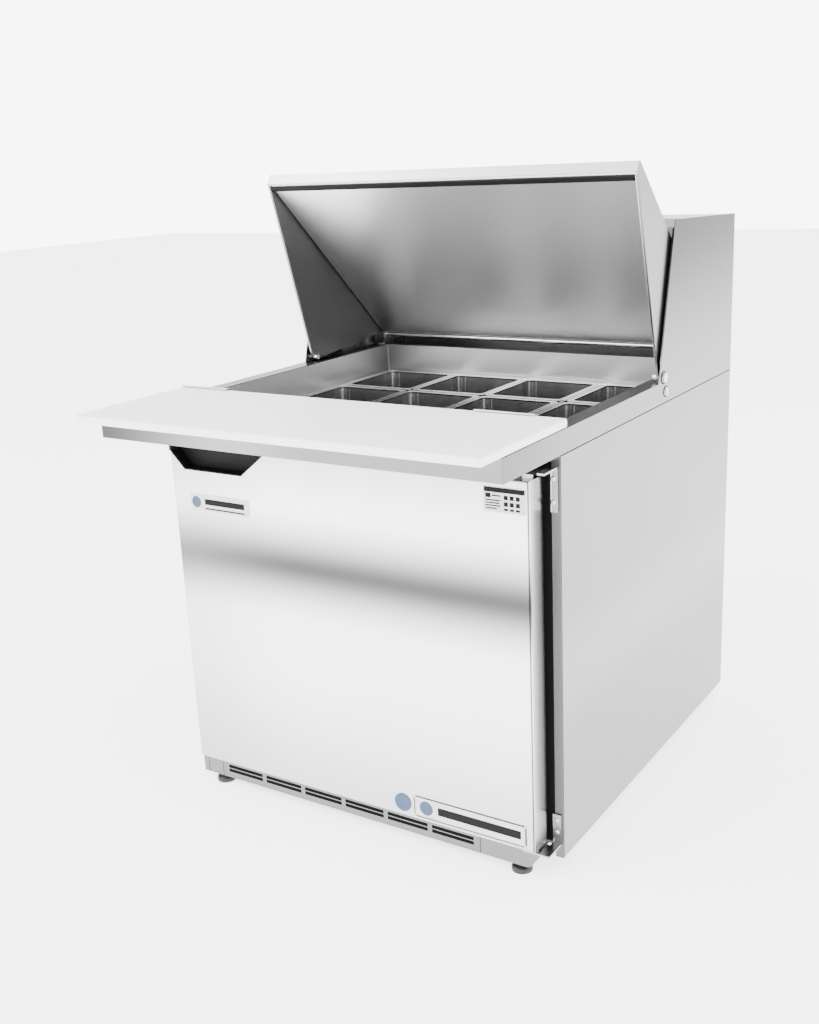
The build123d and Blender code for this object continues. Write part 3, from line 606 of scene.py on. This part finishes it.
class PREPTABLE_OT_fittings(bpy.types.Operator):
    """Finishes the board, plastics, rubber and the cooling parts"""

    bl_idname = "preptable.fittings"
    bl_label = "Fittings"

    def execute(self, context):
        dress(cutting_board_white("board_white"), "cutting_board")
        black = moulded("moulded_black", (0.006, 0.006, 0.0065), 0.55, shine=0.12)
        dress(black, "handle_insert", "wing_seal_plates", "condenser_fan", "evaporator_fan")
        white = moulded("moulded_white", (0.82, 0.82, 0.80), 0.40)
        dress(white, "hinge_bushings", "evaporator_housing", "door_liner", "thermostat_knob")
        dress(moulded("gasket_black", (0.008, 0.008, 0.0085), 0.6, shine=0.1), "lid_gasket")
        dress(moulded("gasket_grey", (0.42, 0.42, 0.42), 0.6, shine=0.2), "door_gasket")
        dress(moulded("wire_coating", (0.80, 0.80, 0.78), 0.35), "wire_shelves")
        dress(moulded("drain_vinyl", (0.45, 0.45, 0.43), 0.3), "drain_tube")
        dress(moulded("black_enamel", (0.015, 0.015, 0.016), 0.3),
              "compressor", "fan_motors", "control_box")
        dress(finned_aluminium("fin_stock"), "evaporator_coil", "condenser_coil")
        dress(pebbled_liner("liner_sheet"), "interior_liner")
        dress(foam_core("foam_core"), "cabinet_insulation", "door_insulation", "lid_insulation")
        dress(drawn_copper("drawn_copper"), "refrigerant_lines")
        dress(foot_mixture("foot_zinc_and_rubber"), "levelling_feet")
        return {"FINISHED"}


class PREPTABLE_OT_labels(bpy.types.Operator):
    """Puts the blank plates and the round badges on the door"""

    bl_idname = "preptable.labels"
    bl_label = "Labels"

    def execute(self, context):
        thick = context.scene.prep_detail.plate_thickness
        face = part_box("door_skin")[0][1]
        paper, ink, blue = self.finishes(context)

        def on_door(x, z, deep=1.0):
            return (x[0], face - thick * deep, z[0]), (x[1], face + 0.0001, z[1])

        plates = [("maker_plate", (-0.301, -0.172), (0.529, 0.559), 0.0015),
                  ("rating_label", (0.272, 0.3405), (0.596, 0.634), 0.001),
                  ("name_plate", (0.127, 0.331), (0.060, 0.097), 0.003)]
        for name, x, z, corner in plates:
            add_piece(slab(*on_door(x, z), corner, 1, thick * 0.3), name, paper, "door")
        border = bmesh.new()
        x, z, line = plates[2][1], plates[2][2], 0.0016
        for run_x, run_z in (((x[0] + 0.003, x[1] - 0.003), (z[0], z[0] + line)),
                             ((x[0] + 0.003, x[1] - 0.003), (z[1] - line, z[1])),
                             ((x[0], x[0] + line), (z[0] + 0.003, z[1] - 0.003)),
                             ((x[1] - line, x[1]), (z[0] + 0.003, z[1] - 0.003))):
            join(border, slab(*on_door(run_x, run_z, 1.5), 0.0006, 1))
        add_piece(border, "name_plate_border", ink, "door")
        bars = bmesh.new()
        for run_x, run_z in (((-0.268, -0.182), (0.541, 0.551)), ((-0.268, -0.182), (0.533, 0.5355)),
                             ((0.2735, 0.339), (0.6255, 0.6328)), ((0.2755, 0.284), (0.617, 0.6235)),
                             ((0.286, 0.300), (0.6195, 0.6215)), ((0.2755, 0.300), (0.6125, 0.6143)),
                             ((0.2755, 0.298), (0.6085, 0.6103)), ((0.2755, 0.300), (0.6045, 0.6063)),
                             ((0.2755, 0.294), (0.6005, 0.6023)), ((0.172, 0.322), (0.072, 0.086))):
            join(bars, slab(*on_door(run_x, run_z, 1.4), 0.0005, 1))
        cell = 0.0032
        for row in range(7):
            for column in range(9):
                if (row * 7 + column * 5 + row * column) % 3 != 1:
                    x, z = 0.3055 + column * cell, 0.5995 + row * cell
                    join(bars, slab(*on_door((x, x + cell), (z, z + cell), 1.4)))
        add_piece(bars, "label_bars", ink, "door")
        for name, x, z, radius in (("round_badge", 0.105, 0.078, 0.016),
                                   ("round_mark", 0.150, 0.0785, 0.0125),
                                   ("maker_mark", -0.287, 0.544, 0.010)):
            rim = [(0.0, thick * 1.3), (radius * 0.62, thick * 1.3), (radius * 0.66, thick * 1.9),
                   (radius * 0.9, thick * 1.9), (radius, thick * 1.5), (radius, 0.0), (0.0, 0.0)]
            add_piece(spun(rim, (x, face, z), (0, -1, 0)), name, blue, "door")
        return {"FINISHED"}

    def finishes(self, context):
        tone = tuple(context.scene.prep_finish.plate_tone)
        paper = moulded("label_film", tone, 0.35, 600.0, 0.00002)
        ink = moulded("label_ink", (0.006, 0.006, 0.007), 0.6, 600.0, 0.00002, 0.1)
        blue = moulded("badge_enamel", (0.02, 0.055, 0.12), 0.3, 600.0, 0.00002)
        return paper, ink, blue


class PREPTABLE_OT_seams(bpy.types.Operator):
    """Lays the black strips in the open joints and beside the door"""

    bl_idname = "preptable.seams"
    bl_label = "Seams"

    def execute(self, context):
        sunk = context.scene.prep_detail.seam_depth
        black = pitch_black("seam_black")
        panel_low, panel_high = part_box("side_panel_right")
        frame_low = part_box("front_frame")[0]
        wing_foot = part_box("wing_right")[0][2]
        inner, outer = panel_high[0] - 0.0012, panel_high[0] - sunk
        front = frame_low[1]
        for name, turn in (("right", 1), ("left", -1)):
            strip = slab((inner, panel_low[1], panel_high[2]), (outer, panel_high[1], wing_foot), 0.0003, 1)
            join(strip, slab((inner, front + 0.0012, frame_low[2]), (outer, panel_low[1], panel_high[2]),
                             0.0003, 2))
            self.mirror(strip, turn)
            add_piece(strip, "seam_strip_" + name, black)
            # a thin black strip on the frame beside each side of the door
            breaker = slab((0.323, front - 0.0012, 0.050), (0.3545, front - 0.0001, 0.664),
                           0.0008, 1, 0.0004)
            self.mirror(breaker, turn)
            add_piece(breaker, "door_side_strip_" + name, black)
        return {"FINISHED"}

    def mirror(self, shape, turn):
        bmesh.ops.scale(shape, vec=(turn, 1, 1), verts=shape.verts)


class PREPTABLE_OT_beads(bpy.types.Operator):
    """Adds bright pieces that are painted highlights: rings on the pans' rolled rims and strips in the
    well's corners
    """

    bl_idname = "preptable.beads"
    bl_label = "Beads"

    def execute(self, context):
        bright = brushed_steel("rim_highlight_steel", 0.95, 0.16, "X", depth=0.3)
        wide = context.scene.prep_detail.rim_highlight_width
        for node in pan_nodes():
            low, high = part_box(node)
            ring = self.ring(low, high, 0.0068, wide)
            join(ring, self.ring(low, high, 0.0004, wide * 0.6))
            add_piece(ring, node + "_rim_highlight", bright, node)
        corner_highlights = bmesh.new()
        for turn in (-1, 1):
            for y in (0.3658, -0.2088):
                x = sorted((turn * 0.3387, turn * 0.3367))
                join(corner_highlights, slab((x[0], y, 0.6530), (x[1], y + 0.002, 0.7075), 0.0006, 2))
        add_piece(corner_highlights, "well_corner_highlights", bright, "cabinet")
        return {"FINISHED"}

    def ring(self, low, high, inset, wide):
        """A rounded frame laid on a pan's rim, to carry its painted highlight."""
        top = high[2]
        corner = max(0.0016, 0.0125 - inset * 0.2)
        shape = slab((low[0] + inset, low[1] + inset, top - 0.0002),
                     (high[0] - inset, high[1] - inset, top + 0.0007), corner, 2)
        flat = [f for f in shape.faces if abs(f.normal.z) > 0.9]
        bmesh.ops.inset_individual(shape, faces=flat, thickness=wide)
        inner = [e for f in flat for e in f.edges]
        bmesh.ops.delete(shape, geom=flat, context="FACES_ONLY")
        bmesh.ops.bridge_loops(shape, edges=inner)
        return shape


class PREPTABLE_OT_grille(bpy.types.Operator):
    """Puts black fills in and behind the base grille's slots and joints, as painted shade where they open
    into the base
    """

    bl_idname = "preptable.grille"
    bl_label = "Grille"

    def execute(self, context):
        low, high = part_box("base_grille")
        face = low[1]
        back = slab((low[0] + 0.002, face + 0.0014, low[2] + 0.0015),
                    (0.300, face + 0.0019, high[2] - 0.0015), 0.0005, 1)
        for x, z in GRILLE_SLOTS:
            join(back, slab((x - 0.0393, face - 0.0001, z - 0.0031),
                            (x + 0.0393, face + 0.0015, z + 0.0031), 0.001, 1))
        for x in GRILLE_SEAMS:
            join(back, slab((x, face - 0.0001, low[2] + 0.0005),
                            (x + 0.0011, face + 0.0015, high[2] - 0.0005), 0.0002, 1))
        add_piece(back, "grille_slot_shade", pitch_black("slot_shade_black"))
        return {"FINISHED"}


class PREPTABLE_OT_fasteners(bpy.types.Operator):
    """Fits the bolt caps on the wings, with black rings of painted shadow round them, and the screws of the
    hinge brackets
    """

    bl_idname = "preptable.fasteners"
    bl_label = "Fasteners"

    def execute(self, context):
        steel = brushed_steel("screw_steel", 0.55, 0.18, "X", depth=0.4)
        black = pitch_black("cap_shadow_black")
        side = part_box("wing_right")[1][0]
        for name, turn in (("right", 1), ("left", -1)):
            caps, rings = bmesh.new(), bmesh.new()
            for y, z, radius, rise in BOLTS:
                cap = [(0.0, rise), (radius * 0.45, rise * 0.96), (radius * 0.8, rise * 0.72),
                       (radius * 0.95, rise * 0.4), (radius, rise * 0.3), (radius * 1.25, rise * 0.25),
                       (radius * 1.3, 0.0), (0.0, 0.0)]
                join(caps, spun(cap, (turn * side, y, z), (turn, 0, 0), 28))
                # a black ring round each cap: a painted shadow
                dark = [(radius * 1.3, 0.0002), (radius * 1.3, 0.0008), (radius * 1.55, 0.0008),
                        (radius * 1.6, 0.0), (radius * 1.3, 0.0002)]
                join(rings, spun(dark, (turn * side, y, z), (turn, 0, 0), 28))
            add_piece(caps, "wing_caps_" + name, steel, "cabinet")
            add_piece(rings, "wing_cap_shadows_" + name, black)
        radius = context.scene.prep_detail.screw_radius
        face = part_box("hinge_brackets")[1][1] - 0.003
        screws = bmesh.new()
        across, heights = BRACKET_SCREWS
        for z in heights:
            join(screws, screw((across, face, z), (0, -1, 0), radius))
        add_piece(screws, "bracket_screws", steel, "cabinet")
        return {"FINISHED"}


class PREPTABLE_PT_panel(bpy.types.Panel):
    """Lists the steps that build the prep table's looks"""

    bl_label = "Prep Table"
    bl_idname = "PREPTABLE_PT_panel"
    bl_space_type = "VIEW_3D"
    bl_region_type = "UI"
    bl_category = "Prep Table"

    def draw(self, context):
        for step in STEPS:
            self.layout.operator(step.bl_idname)


STEPS = (PREPTABLE_OT_stage, PREPTABLE_OT_steelwork, PREPTABLE_OT_fittings, PREPTABLE_OT_labels,
         PREPTABLE_OT_seams, PREPTABLE_OT_beads, PREPTABLE_OT_grille, PREPTABLE_OT_fasteners)
CLASSES = (StageSettings, FinishSettings, DetailSettings) + STEPS + (PREPTABLE_PT_panel,)


def register():
    for cls in CLASSES:
        bpy.utils.register_class(cls)
    bpy.types.Scene.prep_stage = bpy.props.PointerProperty(type=StageSettings)
    bpy.types.Scene.prep_finish = bpy.props.PointerProperty(type=FinishSettings)
    bpy.types.Scene.prep_detail = bpy.props.PointerProperty(type=DetailSettings)


def unregister():
    del bpy.types.Scene.prep_detail
    del bpy.types.Scene.prep_finish
    del bpy.types.Scene.prep_stage
    for cls in reversed(CLASSES):
        bpy.utils.unregister_class(cls)


def main():
    register()
    for step in STEPS:
        group, name = step.bl_idname.split(".")
        getattr(getattr(bpy.ops, group), name)()


if __name__ == "__main__":
    main()
